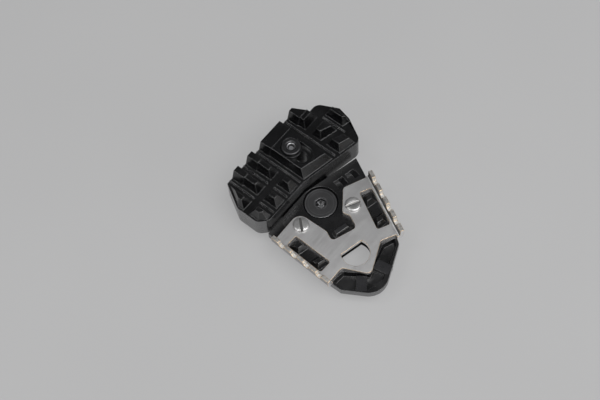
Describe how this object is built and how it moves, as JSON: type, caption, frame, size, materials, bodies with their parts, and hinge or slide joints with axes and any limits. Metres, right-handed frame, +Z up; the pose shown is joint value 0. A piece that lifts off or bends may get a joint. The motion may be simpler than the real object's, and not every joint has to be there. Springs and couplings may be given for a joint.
{
  "type": "brake pedal extension",
  "caption": "Motorbike brake pedal step pad with a clamped-on extension: black cleated pad, slotted lever screw and a toothed steel tread plate on a black base.",
  "frame": {"origin": "on the slot screw's axis, level with the face of the pad that sits on the pedal lever", "axes": "+Z up, out of the tread; +Y along the pad's slot, away from the nose; +X across the pad to its right lobe"},
  "size_m": [0.0772, 0.0909, 0.0276],
  "materials": {
    "pad_black": "satin black anodised",
    "carrier_black": "satin black",
    "tread_steel": "fine brushed stainless",
    "screw_steel": "bright",
    "screw_black": "black oxide"
  },
  "bodies": {
    "extension": {"step_pad": "pad_black", "carrier": "carrier_black", "tread_plate": "tread_steel", "tread_screw_left": "screw_steel", "tread_screw_right": "screw_steel", "clamp_screw": "screw_black", "clamp_plate": "carrier_black", "clamp_nut": "screw_black"},
    "slot_fastener": {"slot_screw": "screw_black", "slot_washer": "screw_black"}
  },
  "joints": [
    {"name": "slot", "type": "slide", "parent": "extension", "child": "slot_fastener", "axis": [0, -1, 0], "range_m": [0, 0.007]}
  ]
}
